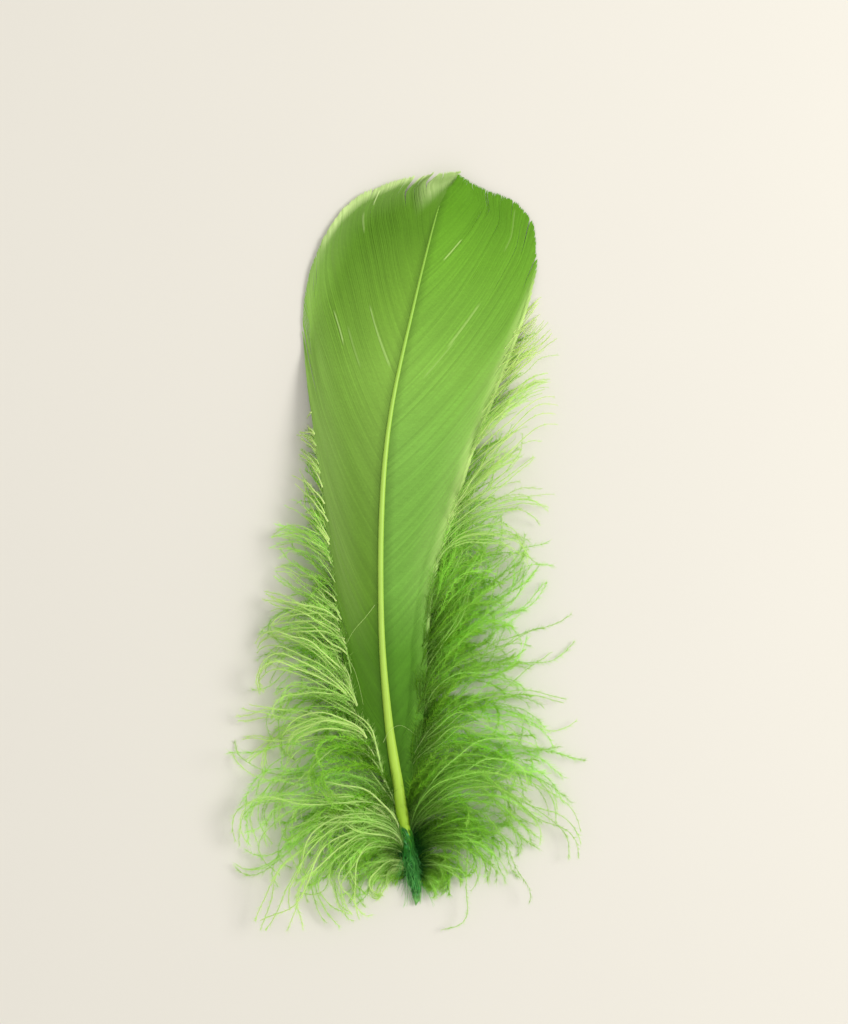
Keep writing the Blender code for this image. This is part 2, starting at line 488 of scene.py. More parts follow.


# %% [markdown]
# ## The barbs
# A barb of the web is a flat blade, ridged along its middle, and each one laps over the next like a roof
# tile, so that the web is closed and still shows its lines. Its width comes from the room between its
# neighbours. Near the feather's tip the barbs' ends bend and run along the edge, which makes the edge smooth.
# The pale rim top left, the folded point at the tip and the rolled edge low on the right are shapes of the
# whole row, so they are set by where a barb grows and by how far it is from the web's edge. Their paleness
# is painted highlight.

# %% Web shape
OVERLAP = 1.35
NARROWEST, WIDEST, RIDGE = 0.09, 0.42, 0.038
LAP_TILT, TILT_JITTER = math.radians(4), math.radians(1.2)
TIP_TAPER = 0.5
PROUD_LIFT, PROUD_THINNER = 0.22, 0.45
ROLL_LIFT, ROLL_WIDTH = 0.4, 3.4
GLOW_WIDTH = 8.0
RIDGE_LINE, RIDGE_LIFT = 0.85, 0.40
RIM_LIFT, RIM_WIDTH = 0.7, 3.2
FOLD_LIFT = 1.0
RIM_LEAN = 1.3
SWEEP_LEFT, SWEEP_RIGHT = 1.7, 2.5
FOLD_OVER = 1.0


def edge_form_left(roots, edge):
    """Lift and painted highlight of the left web: a pale rim near the tip, and the folded point at its end.
    """
    rim = ramp(roots, 76, 96) * (1 - ramp(edge, 0.6, RIM_WIDTH))
    loose = ramp(roots, 38, 60) * (1 - ramp(edge, 1.0, 8.0))
    fold = ramp(roots, 140, 150) * ramp(STEPS, 0.50, 0.75)
    line = ramp(roots, 90, 104) * ramp(STEPS, 0.93, 0.98)
    pale = np.max([0.34 * rim, line, 0.62 * fold, 0.14 * loose], axis=0)
    return RIM_LIFT * rim**2 + FOLD_LIFT * fold, pale


def edge_form_right(roots, edge):
    """Lift and painted highlight of the right web: its lower edge rolls and ends in a thin bright ridge."""
    lower = ramp(roots, 24, 38) * (1 - ramp(roots, 90, 97))
    upper = ramp(roots, 48, 70)
    broad = (0.06 + 0.66 * upper) * (1 - ramp(edge, 0.8, ROLL_WIDTH))
    glow = 0.14 * upper * (1 - ramp(edge, 2, GLOW_WIDTH))
    ridge = ramp(roots, 38, 52) * (1 - ramp(edge, 0.4, RIDGE_LINE))
    roll = np.sin(np.pi * np.clip(edge / ROLL_WIDTH, 0, 1))
    crest = (0.7 + 0.5 * ramp(roots, 52, 72)) * ridge
    return lower * (ROLL_LIFT * roll + RIDGE_LIFT * ridge), lower * np.max([broad, glow, crest], axis=0)


def leaned_tips(plan, roots, side):
    """The upper barbs' ends run along the edge. On the left they also lean, and the last ones fold over."""
    last = ramp(roots, 144, 156)[:, None]
    upper = ramp(roots, 80, 100)[:, None] * (1 - last)
    edge_way = unit(np.gradient(plan[:, -1], axis=0))
    sweep = (SWEEP_LEFT if side < 0 else SWEEP_RIGHT) * upper * ramp(STEPS, 0.86, 1.0)
    leaned = plan + sweep[..., None] * edge_way[:, None]
    if side < 0:
        late = np.clip((STEPS - 0.55) / 0.45, 0, 1)
        leaned[..., 0] -= RIM_LEAN * upper * np.sin(np.pi * late) * late
        leaned[..., 0] += FOLD_OVER * last * np.sin(np.pi * STEPS)
    return leaned


def web_barbs(name, material, side, outline, splits, stretches, edge_form, seed):
    """A web: its barbs laid side by side, in one mesh."""
    rng = np.random.default_rng(seed)
    spacing = (outline[-1][0] - outline[0][0]) / (BARBS - 1)
    roots = outline[0][0] + spacing * (np.arange(BARBS) + rng.uniform(-ROOT_JITTER, ROOT_JITTER, BARBS))
    plan = leaned_tips(barb_plan(outline, side, roots), roots, side)
    ahead = unit(np.gradient(plan, axis=1))
    row_way = stacked(-ahead[..., 1], ahead[..., 0]) * side
    room = np.abs((np.gradient(plan, axis=0) * row_way).sum(-1))

    drift = DRIFT * smooth_noise(rng, DRIFT_HUMPS) * STEPS**1.5
    drift += rng.normal(0, OWN_DRIFT, (BARBS, 1)) * STEPS
    plan += row_way * (drift + split_shift(roots, splits))[..., None]
    plan += ahead * (rng.normal(0, TIP_JITTER, (BARBS, 1)) * STEPS**3)[..., None]

    proud = proud_share(plan, stretches)
    # Pale is painted highlight: on the rim, the fold and the rolled edge, and on the proud barbs below
    lift, pale = edge_form(roots[:, None], edge_distance(plan))
    pale *= rng.uniform(0.65, 1.0, (BARBS, 1))
    height = web_height(plan[..., 0], plan[..., 1]) + lift + PROUD_LIFT * proud
    height += WAVE * smooth_noise(rng, WAVE_HUMPS) * STEPS
    lines = stacked(plan[..., 0], plan[..., 1], height)
    room *= 1 - PROUD_THINNER * proud
    return lay_web(name, lines, side, room, np.clip(pale + proud, 0, 1), roots, rng, material)


def lay_web(name, lines, side, room, pale, roots, rng, material):
    """Lays a blade along each line, lapped over its neighbour."""
    rod = master_rod(4, BARB_STEPS)
    _, side_way, up_way = directions(lines)
    tilt = (side * (LAP_TILT + rng.normal(0, TILT_JITTER, len(lines))))[:, None, None]
    leaned = side_way * np.cos(tilt) + up_way * np.sin(tilt)
    risen = up_way * np.cos(tilt) - side_way * np.sin(tilt)
    length = lengths(lines)[:, None]
    taper = np.clip((1 - STEPS) * length / TIP_TAPER, 0.10, 1.0)
    half = np.clip(room * 0.5 * OVERLAP, NARROWEST, WIDEST) * taper
    points, triangles = laid_along(rod, lines, leaned, risen, half, RIDGE * taper)
    growth = on_points(rod, STEPS, rng.random((len(lines), 1)), pale)
    run = on_points(rod, length * STEPS, half, roots[:, None])
    run[:, 1] *= np.tile(rod[1][:, 0], len(lines))
    return joined_object(name, points, triangles, material, growth=growth, run=run)


# %% [markdown]
# ## The web's finish
# Dyed web has a silky green that shifts along the feather, and is thin enough for light to come through. Its
# patterns are broad clouds where the dye took unevenly, streaks that follow the barbs, a painted shade
# beside the shaft, and barbules that slant across each barb. Pale rims, folds and proud barbs carry painted
# highlights.

# %% Helpers for patterns


def colour_ramp(tree, value, stops):
    """A ramp of colours, read at value."""
    made = add_node(tree, "ValToRGB", {"Fac": value})
    steps = made.color_ramp.elements
    while len(steps) < len(stops):
        steps.new(0.5)
    for step, (position, colour) in zip(steps, stops):
        step.position, step.color = position, (*colour, 1.0)
    return made.outputs["Color"]


def marks(tree, name):
    """The three numbers that growth or run holds."""
    held = add_node(tree, "Attribute", attribute_name=name).outputs["Vector"]
    parts = add_node(tree, "SeparateXYZ", {"Vector": held}).outputs
    return parts["X"], parts["Y"], parts["Z"]


def scaled(tree, value, scale):
    return add_node(tree, "Math", {0: value, 1: scale}, operation="MULTIPLY").outputs[0]


def added(tree, first, second, scale):
    """first + second * scale."""
    return add_node(tree, "Math", {0: second, 1: scale, 2: first}, operation="MULTIPLY_ADD").outputs[0]


def along_feather(tree, place):
    """0 at the quill's end, 1 at the feather's tip."""
    along = add_node(tree, "SeparateXYZ", {"Vector": place}).outputs["Y"]
    ends = {"From Min": cad_low[1], "From Max": cad_high[1]}
    return add_node(tree, "MapRange", {"Value": along, **ends}).outputs["Result"]


def mixed(tree, share, colour, other):
    """A colour that goes over into another."""
    return add_node(tree, "Mix", {0: share, 6: colour, 7: (*other, 1.0)}, data_type="RGBA").outputs[2]


def bumped(tree, shader, height, strength, depth):
    """Relief on the surface, with its depth in mm."""
    bump = add_node(tree, "Bump", {"Height": height, "Strength": strength, "Distance": depth * MM})
    tree.links.new(bump.outputs["Normal"], shader.inputs["Normal"])


def let_light_through(tree, shader, colour, share):
    """Mixes some light from behind into the surface."""
    through = add_node(tree, "BsdfTranslucent", {"Color": colour})
    both = add_node(tree, "MixShader", {"Fac": share, 1: shader.outputs[0], 2: through.outputs[0]})
    tree.links.new(both.outputs[0], tree.nodes["Material Output"].inputs["Surface"])


# %% Web material
# Painted highlights: the colours the webs turn to where their edges, fold and proud barbs catch the light
PALE_LEFT = (0.78, 0.97, 0.42)
PALE_RIGHT = (0.78, 1.0, 0.36)
BARBULE_SPACING = 0.16
BARBULE_SLANT = 1.6
STREAK_DRAWN, WEAVE_DRAWN = 0.05, 2.4
# Millimetres along a barb over which the painted shade beside the shaft fades out
SHAFT_SHADE_REACH = 3.5
THROUGH_WEB = 0.28
SILK = (0.62, 1.0, 0.30, 1.0)
# Along the feather, 0 at its quill end and 1 at its tip: the dye's colour. The dark stops near the quill
# are partly painted shade of the trough by the shaft, and the left's stop at 0.42 partly the shaft's shadow
DYE_LEFT = (
    (0.1, (0.065, 0.21, 0.004)), (0.33, (0.086, 0.243, 0.006)), (0.42, (0.152, 0.328, 0.026)),
    (0.61, (0.237, 0.452, 0.062)), (0.72, (0.296, 0.563, 0.076)), (0.82, (0.244, 0.51, 0.049)),
    (0.92, (0.144, 0.35, 0.02)),
)
DYE_RIGHT = (
    (0.1, (0.075, 0.24, 0.008)), (0.33, (0.142, 0.398, 0.029)), (0.42, (0.25, 0.56, 0.079)),
    (0.61, (0.28, 0.58, 0.09)), (0.72, (0.306, 0.613, 0.085)), (0.87, (0.222, 0.53, 0.038)),
    (0.95, (0.158, 0.42, 0.018)),
)


def barbule_run(tree):
    """Millimetres along the barb, read on lines that slant forward on both sides of it as barbules do."""
    run_along, run_across, _ = marks(tree, "run")
    aside = add_node(tree, "Math", {0: run_across}, operation="ABSOLUTE").outputs[0]
    return added(tree, run_along, aside, -BARBULE_SLANT)


def barb_noise(tree, along, root, drawn, scale, detail):
    """Noise that differs from barb to barb, and is drawn out or packed along them."""
    spot = add_node(tree, "CombineXYZ", {"X": scaled(tree, along, drawn), "Y": root})
    return cloudy(tree, spot.outputs[0], scale, detail)


def web_colour(tree, dye, bare):
    """The dye's colour, clouded, streaked, grained, with painted shade by the shaft and painted highlights.
    """
    _, own, pale = marks(tree, "growth")
    run_along, _, root = marks(tree, "run")
    place = own_place(tree)
    colour = colour_ramp(tree, along_feather(tree, place), dye)
    colour = brightened(tree, colour, cloudy(tree, place, 42.0, 3.0), 0.86, 1.14)
    streak = barb_noise(tree, run_along, root, STREAK_DRAWN, 0.75, 3.0)
    colour = brightened(tree, colour, streak, 0.87, 1.13)
    weave = barb_noise(tree, barbule_run(tree), root, WEAVE_DRAWN, 1.0, 2.0)
    colour = brightened(tree, colour, weave, 0.84, 1.16)
    colour = brightened(tree, colour, own, 0.93, 1.07)
    # Painted shade: the first few mm of each barb, beside the shaft, are made darker
    colour = brightened(tree, colour, scaled(tree, run_along, 1 / SHAFT_SHADE_REACH), 0.70, 1.0)
    # Painted highlight: mixed towards its colour as far as pale says
    return mixed(tree, pale, colour, bare)


def herringbone(tree):
    """Barbules that slant forward on both sides of each barb, as a height."""
    turns = scaled(tree, barbule_run(tree), 2 * math.pi / BARBULE_SPACING)
    return add_node(tree, "Math", {0: turns}, operation="SINE").outputs[0]


def web_material(name, dye, bare):
    silk = {"Sheen Weight": 0.22, "Sheen Roughness": 0.40, "Sheen Tint": SILK}
    material, tree, shader = new_material(name, {"Roughness": 0.58, "Specular IOR Level": 0.20, **silk})
    colour = web_colour(tree, dye, bare)
    tree.links.new(colour, shader.inputs["Base Color"])
    bumped(tree, shader, herringbone(tree), 0.12, 0.01)
    let_light_through(tree, shader, colour, THROUGH_WEB)
    return material


# %% Both webs
# Side by side: dye, painted highlight, side, outline, splits, proud barbs, edge, seed of the random draws
for side_name, dye, bare, *shape in (
    ("left", DYE_LEFT, PALE_LEFT, -1, WEB_LEFT, SPLITS_LEFT, PROUD_LEFT, edge_form_left, 11),
    ("right", DYE_RIGHT, PALE_RIGHT, 1, WEB_RIGHT, SPLITS_RIGHT, PROUD_RIGHT, edge_form_right, 12),
):
    dyed_web = web_material("dyed web " + side_name, dye, bare)
    settled(web_barbs("web_" + side_name, dyed_web, *shape), "vane_" + side_name)

# %% [markdown]
# ## The shaft
# The shaft is horn: a bare quill at the root, then the rachis that carries the barbs and thins to a hair at
# the tip. It is one rod swept along the feather's line, with a furrow along its underside. The dye took
# deep emerald on the quill's end, and the rest is a bright yellow green with a soft polish.

# %% Horn material
HORN = (
    (0, (0.02, 0.12, 0.008)), (0.11, (0.03, 0.17, 0.01)), (0.119, (0.3, 0.52, 0.022)),
    (0.2, (0.43, 0.67, 0.07)), (0.4, (0.42, 0.65, 0.095)), (0.6, (0.42, 0.67, 0.095)),
    (0.8, (0.33, 0.6, 0.065)), (1, (0.2, 0.43, 0.03)),
)


def horn_material():
    material, tree, shader = new_material("dyed horn", {"Roughness": 0.36, "Specular IOR Level": 0.35})
    step, aside, _ = marks(tree, "growth")
    place = own_place(tree)
    aslant = added(tree, step, aside, 0.010)
    colour = colour_ramp(tree, added(tree, aslant, cloudy(tree, place, 480.0), 0.035), HORN)
    stretched = add_node(tree, "Mapping", {"Vector": place, "Scale": (1.0, 0.06, 1.0)})
    grain = cloudy(tree, stretched.outputs[0], 3500.0)
    tree.links.new(brightened(tree, colour, grain, 0.88, 1.12), shader.inputs["Base Color"])
    bumped(tree, shader, grain, 0.25, 0.02)
    return material


# %% Shaft
SHAFT_RINGS, SHAFT_SIDES = 220, 18
FURROW = 0.30


def make_shaft():
    steps = np.linspace(0, 1, SHAFT_RINGS + 1)
    across, height, diameter = read(SHAFT_LINE, steps * LENGTH)
    line = stacked(across, steps * LENGTH, height)[None]
    (step, section, _), points, triangles = round_rods(SHAFT_SIDES, line, diameter / 2)
    below = ramp(-section[:, 1], 0.75, 1.0) * ramp(steps[step], 0.12, 0.2)
    points[:, 2] += below * FURROW * diameter[step] / 2
    growth = stacked(steps[step], section[:, 0], 0.0)
    return joined_object("horn_shaft", points, triangles, horn_material(), growth=growth)


settled(make_shaft(), "shaft")

# %% [markdown]
# The dye dried as a dark crust on the quill's end, lumpy and a little glossy, with fine down caught in it.
# The crust is a second rod around the shaft, pushed outwards by smooth noise. The matted strands are thin
# rods that wind down along it and fray near the end.

# %% Dye crust
CRUST_FROM, CRUST_TO = -0.8, 14.6
CRUST_RINGS, CRUST_SIDES = 70, 18
CRUST_THICK, CRUST_LUMP = 1.02, 0.34
CRUST_RAGGED, CRUST_SLANT, CRUST_TORN = 4.5, 2.2, 1.6
LOWEST = 0.03
CRUST_DYE = ((0.28, (0.004, 0.060, 0.003)), (0.50, (0.012, 0.160, 0.014)), (0.72, (0.060, 0.380, 0.090)))
CRUST_WORN = (0.300, 0.640, 0.160)


def crust_material():
    """Dried dye: emerald, darker in its hollows, glossy in patches and worn pale at the very end."""
    material, tree, shader = new_material("dried dye", {"Roughness": 0.30, "Specular IOR Level": 0.30})
    place = own_place(tree)
    lumps = cloudy(tree, place, 900.0, 4.0)
    share, _, _ = marks(tree, "growth")
    worn = add_node(tree, "MapRange", {"Value": share, "From Min": 0.14, "From Max": 0.02, "To Max": 0.9})
    patchy = scaled(tree, worn.outputs["Result"], lumps)
    colour = mixed(tree, patchy, colour_ramp(tree, lumps, CRUST_DYE), CRUST_WORN)
    tree.links.new(colour, shader.inputs["Base Color"])
    patches = cloudy(tree, place, 500.0)
    gloss = add_node(tree, "MapRange", {"Value": patches, "To Min": 0.12, "To Max": 0.60})
    tree.links.new(gloss.outputs["Result"], shader.inputs["Roughness"])
    bumped(tree, shader, lumps, 0.5, 0.08)
    return material


def around_shaft(along, turn, share):
    """Points around the shaft, at a share of its radius. Turn 0 is to the right, a quarter turn on top."""
    across, height, diameter = read(SHAFT_LINE, along)
    reach = share * diameter / 2
    up = np.maximum(height + reach * np.sin(turn), LOWEST)
    return stacked(across + reach * np.cos(turn), along, up)


def make_crust():
    step, section, triangles = master_rod(CRUST_SIDES, CRUST_RINGS)
    share = step / CRUST_RINGS
    along = CRUST_FROM + (CRUST_TO - CRUST_FROM) * share
    turn = np.arctan2(section[:, 1], section[:, 0])
    spots = stacked(1.1 * np.cos(turn), 1.1 * np.sin(turn), 0.75 * along)
    lumps = np.array([noise.fractal(Vector(spot), 1.0, 2.0, 3) for spot in spots])
    closing = ramp(share, -0.02, 0.05) * (1 - 0.30 * ramp(share, 0.7, 1.0))
    thick = CRUST_THICK + CRUST_LUMP * np.clip(lumps + 0.35, 0, 1)
    along += (CRUST_RAGGED * lumps - CRUST_SLANT * np.cos(turn)) * share**4
    along += CRUST_TORN * lumps * (1 - share) ** 14
    points = around_shaft(along, turn, 0.5 + (thick - 0.5) * closing)
    growth = stacked(share, 0.0, 0.0)
    return joined_object("dye_crust", points, triangles[:, ::-1], crust_material(), growth=growth)


settled(make_crust(), None)

# %% Matted strands
STRANDS = 120
STRAND_STEPS = 14
STRAND_HALF, ROD_TAPER = 0.060, 0.6
STRAND_FIRST, STRAND_LAST, SHORTEST_STRAND = (7, 16.5), (-1.9, 8), 4
STRAND_FRAY = 3.2
STRAND_DYE = ((0.0, (0.050, 0.250, 0.014)), (0.4, (0.012, 0.150, 0.014)), (1.0, (0.150, 0.520, 0.110)))


def strand_material():
    material, tree, shader = new_material("wet strands", {"Roughness": 0.40})
    step, own, worn = marks(tree, "growth")
    colour = brightened(tree, colour_ramp(tree, step, STRAND_DYE), own, 0.6, 1.6)
    tree.links.new(mixed(tree, worn, colour, CRUST_WORN), shader.inputs["Base Color"])
    return material


def make_strands():
    """Thin strands that start on the bare quill and wind down towards its end, fraying as they go."""
    rng = np.random.default_rng(31)
    each = (STRANDS, 1)
    t = np.linspace(0, 1, STRAND_STEPS + 1)
    first = rng.uniform(*STRAND_FIRST, each)
    last = np.minimum(rng.uniform(*STRAND_LAST, each), first - SHORTEST_STRAND)
    along = first * (1 - t) + last * t
    turn = rng.uniform(-0.3, math.pi + 0.3, each) + rng.normal(0, 0.7, each) * t
    turn += 0.25 * np.sin(2 * math.pi * (rng.uniform(0.7, 2.0, each) * t + rng.random()))
    fray = rng.uniform(0.0, 0.6, each) * t**2.2
    lines = around_shaft(along, turn, 1.06 + 0.16 * np.sin(math.pi * t) + fray)
    outwards = np.sign(np.cos(turn[:, -1:]))
    lines[..., 0] += outwards * STRAND_FRAY * rng.random(each) ** 2.5 * t**2.2
    rod, points, triangles = round_rods(4, lines, STRAND_HALF * (1 - ROD_TAPER * t))
    points[:, 2] = np.maximum(points[:, 2], LOWEST)
    worn = (last < 1.5) * ramp(t, 0.7, 1.0)
    growth = on_points(rod, t, rng.random(each), worn)
    return joined_object("matted_strands", points, triangles, strand_material(), growth=growth)


settled(make_strands(), None)

# %% [markdown]
# ## How down grows
# Towards the quill the barbs stop hooking together and end in long, soft plumes. A plume leaves the web's
# edge, or the shaft itself low down, along the barb's own way, then turns outwards and down, and its end may
# hook. Walking in small steps while the heading turns keeps every strand its right length.

# %% Plume tables
# Root along the shaft, length, heading where it starts and where it ends (degrees from the tip's way,
# outwards), and how fluffy it is
PLUMES_RIGHT = (
    (5, 6, 60, 150, 0.9), (8, 15, 40, 138, 1.0), (12, 29, 24, 120, 1.0), (17, 39, 16, 106, 1.0),
    (22, 41, 14, 98, 1.0), (27, 37, 20, 94, 1.0), (34, 34, 26, 90, 1.0), (42, 32, 30, 84, 1.0),
    (50, 30, 34, 78, 0.9), (58, 27, 38, 70, 0.75), (66, 23, 42, 62, 0.5), (74, 19, 45, 56, 0.3),
    (82, 14, 47, 52, 0.15), (88, 8, 45, 50, 0.10), (92, 3, 40, 45, 0.05),
)
PLUMES_LEFT = (
    (5, 6, 70, 155, 0.9), (8, 16, 48, 165, 1.0), (12, 30, 26, 162, 1.0), (16, 38, 18, 152, 1.0),
    (20, 38, 16, 138, 1.0), (25, 31, 20, 120, 1.0), (31, 23, 22, 96, 0.95), (38, 18, 25, 80, 0.85),
    (46, 13, 26, 65, 0.6), (54, 8.5, 26, 50, 0.35), (62, 3.5, 24, 36, 0.15),
)
PLUME_STEPS = 24
PLUME_SHARES = np.linspace(0, 1, PLUME_STEPS + 1)
PLUME_SEAT, INSIDE, INSIDE_LOW = 0.42, 0.22, 0.25
ON_TOP = 0.45
ABOVE_WEB, BELOW_WEB = 0.45, 0.35
LOWEST_PLUME = 0.12
REACH_BELOW, REACH_ASIDE = 6.5, 41.5


def plume_starts(outline, side, roots, short, rng):
    """Where each plume leaves the web's edge, or the shaft where no web grows yet, and how many mm of web
    are still to pass: more than 0 where the plume lies on top, less than 0 where beneath."""
    on_web = np.maximum(roots, outline[0][0])
    inside = INSIDE + INSIDE_LOW * (1 - ramp(roots, 26, 46))
    share = 0.99 - inside * rng.random(len(roots)) ** 1.2
    plan = barb_plan(outline, side, on_web)
    start = plan[np.arange(len(roots)), np.searchsorted(STEPS, share)]
    to_edge = size(plan[:, -1] - start)
    shaft_x, shaft_z, diameter = read(SHAFT_LINE, roots)
    bare = roots < outline[0][0]
    start[bare] = stacked(shaft_x + side * PLUME_SEAT * diameter, roots)[bare]
    on_top = (rng.random(len(roots)) < ON_TOP) & ~short
    web = np.where(bare, 0.0, np.where(on_top, to_edge, -to_edge))
    height = np.where(bare, shaft_z, web_height(start[:, 0], start[:, 1]))
    return stacked(start[:, 0], start[:, 1], height), web


def within_reach(plan):
    """Shrinks a plume towards its start where it would go too far past the quill's end or to the side."""
    start = plan[:, :1]
    below = (start[:, 0, 1] + REACH_BELOW) / np.maximum((start - plan)[..., 1].max(axis=1), 1e-3)
    aside = (REACH_ASIDE - np.abs(start[:, 0, 0])) / np.abs((plan - start)[..., 0]).max(axis=1)
    share = np.minimum(1, np.minimum(below, aside))
    return start + (plan - start) * share[:, None, None]


def cleared(plan, height, web, length):
    """The plumes' heights, kept over or under the web until they are past its edge."""
    run = PLUME_SHARES * length
    over = 1 - ramp(run, web - 1, web + 3)
    under = 1 - ramp(run, 1 - web, 4 - web)
    sheet = web_height(plan[..., 0], plan[..., 1])
    above = np.maximum(height, sheet + ABOVE_WEB)
    below = np.minimum(height, sheet - BELOW_WEB)
    height += np.where(web > 0, over * (above - height), 0)
    height += np.where(web < 0, under * (below - height), 0)
    return np.maximum(height, LOWEST_PLUME)


# %% [markdown]
# Wet dye draws neighbouring plumes together, so down dries in tufts and not in an even comb. Plumes of one
# tuft share their length, heading and waves, with a little of their own, and several tufts fall the same way
# as one lock, so that locks part and cross. A tuft that stayed wet longer is drawn tightly to its middle
# plume and is less downy, and it is painted paler as a highlight, on the left side also brighter as painted
# light. A few strays lie across the others, and a third of the plumes are short ones that lie low beneath,
# painted darker as shade.

# %% Tufts
# Plumes in a tuft, from and up to, plumes in a lock, and the shares of strays and of short plumes
TUFT, LOCK = (2, 7), 24
STRAYS, SHORT = 0.10, 0.34


def tufts_of(count, rng):
    """The tuft each plume belongs to, and each plume's middle neighbour."""
    sizes = rng.integers(*TUFT, count)
    tuft = np.repeat(np.arange(count), sizes)[:count]
    middle = np.array([np.flatnonzero(tuft == number).mean() for number in range(tuft.max() + 1)])
    return tuft[:, None], middle[tuft].astype(int)


def shared(tuft, rng, of_tuft, of_own):
    """Random values that the plumes of a tuft share, with a little of each plume's own, in a column."""
    return rng.normal(0, of_tuft, tuft.max() + 1)[tuft] + rng.normal(0, of_own, tuft.shape)


def drawn_together(lines, leader, wet, stray, rng):
    """The plumes of a tuft lean towards its middle plume, more and more along their length."""
    most = (0.08 + 0.82 * wet) * rng.uniform(0.75, 1.0, wet.shape) * (stray == 0)
    pull = (most * PLUME_SHARES**1.2)[..., None]
    return lines * (1 - pull) + lines[leader] * pull


# %% Plume lines
# Spread in degrees, of a tuft or a lock and of each plume in it
FIRST_SPREAD, LAST_SPREAD, HOOK_SPREAD, SWING_SPREAD = (10, 8), (22, 14), (45, 35), (15, 6)
LOCK_FIRST, LOCK_LAST, STRAY_SPREAD = (8, 0), (20, 0), 32
CRIMP, CRIMPS = 9.0, 3.6
# Spread in mm, of the height at a plume's end and over its middle
END_SPREAD, HUMP_SPREAD = (2.6, 1.2), (1.2, 0.7)
SHORT_LENGTH = (0.35, 0.75)
PALE_LIFT = 2.4
SHAFT_ROOM = 3.0


def plume_headings(first, last, fluff, tuft, lock, stray, rng):
    """The heading of each plume at each step, in degrees."""
    t = PLUME_SHARES
    turn = 1 - (1 - t) ** 1.6
    loose = 0.2 + 0.8 * fluff
    angle = first * (1 - turn) + last * turn
    angle += loose * shared(tuft, rng, *FIRST_SPREAD)
    angle += loose * shared(tuft, rng, *LAST_SPREAD) * t
    angle += loose * shared(lock, rng, *LOCK_FIRST)
    angle += loose * shared(lock, rng, *LOCK_LAST) * t
    angle += stray * rng.normal(0, STRAY_SPREAD, stray.shape)
    hook = (shared(tuft, rng, *HOOK_SPREAD) + 15) * fluff
    angle += hook * np.clip((t - 0.6) / 0.4, 0, 1) ** 1.5
    waves = np.clip(1.7 + shared(tuft, rng, 0.5, 0.15), 0.6, 3.2)
    phase = rng.random(tuft.max() + 1)[tuft] + rng.normal(0, 0.09, tuft.shape)
    swing = (np.abs(shared(tuft, rng, *SWING_SPREAD)) + 5) * loose
    angle += swing * np.sin(2 * math.pi * (waves * t + phase)) * t**0.5
    own_phase = rng.random(tuft.shape)
    return angle + CRIMP * loose * np.sin(2 * math.pi * (CRIMPS * t + own_phase)) * t


def beside_shaft(roots, side):
    """The heading, in degrees, at which a plume would run along the shaft with a little room."""
    before, after = (read(SHAFT_LINE, roots + step)[0] for step in (-4, 4))
    return np.degrees(np.arctan2(side * (after - before), 8)) + SHAFT_ROOM


def plume_heights(start, length, fluff, lift, tuft, rng):
    """The height of each plume at each step: from where it starts, over a hump or a dip, down to its tip."""
    t = PLUME_SHARES
    reach = np.clip(length / 20, 0, 1)
    end = np.abs(shared(tuft, rng, *END_SPREAD)) * reach + 0.3
    hump = (1.0 + lift + shared(tuft, rng, *HUMP_SPREAD)) * reach
    height = start * (1 - t) ** 1.3 + end * t + hump * 4 * t * (1 - t)
    phase = rng.random(tuft.shape)
    return height + 0.5 * fluff * np.sin(2 * math.pi * (2 * t + phase)) * t


